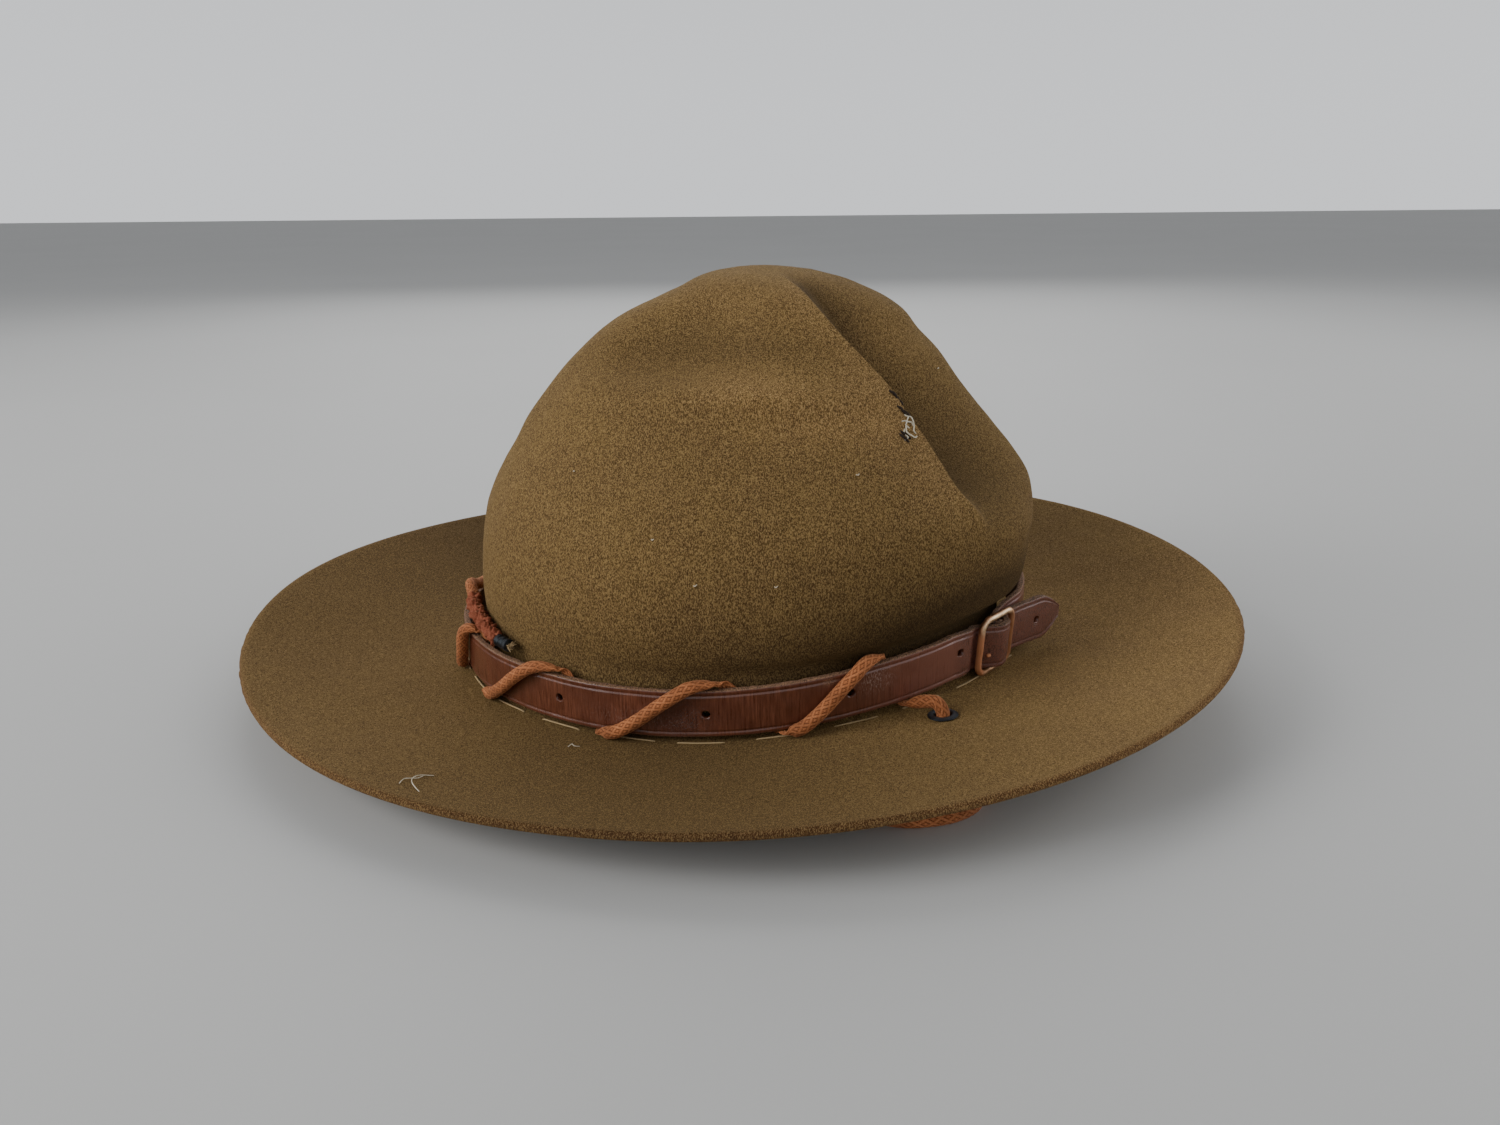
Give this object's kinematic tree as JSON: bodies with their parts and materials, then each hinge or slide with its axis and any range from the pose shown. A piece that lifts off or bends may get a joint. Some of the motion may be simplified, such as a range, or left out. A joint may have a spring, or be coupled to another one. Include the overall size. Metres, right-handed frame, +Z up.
{
  "type": "scout hat",
  "caption": "Olive-brown felt campaign hat with a pinched crown and broad flat brim, a buckled leather band and a brown lace wound on it.",
  "frame": {"origin": "below the middle of the brim, on the surface that the hat rests on", "axes": "+Z up, the wearer faces -Y and the wearer's left is +X"},
  "size_m": [0.3277, 0.3684, 0.147],
  "materials": {
    "felt": "brushed fur felt, matt and slightly fuzzy",
    "leather": "dark oxblood harness leather, worn gloss",
    "buckle_metal": "brassed wire, rusty",
    "eyelet_metal": "dark japanned metal",
    "lace": "braided cotton lace, worn",
    "aglet_metal": "dark painted tin"
  },
  "bodies": {
    "root": {"felt_hat": "felt", "hat_band": "leather", "buckle_frame": "buckle_metal", "buckle_prong": "buckle_metal", "eyelet_left": "eyelet_metal", "eyelet_right": "eyelet_metal", "lace_left": "lace", "lace_right": "lace", "lace_loop": "lace", "lace_aglet": "aglet_metal"}
  },
  "joints": []
}
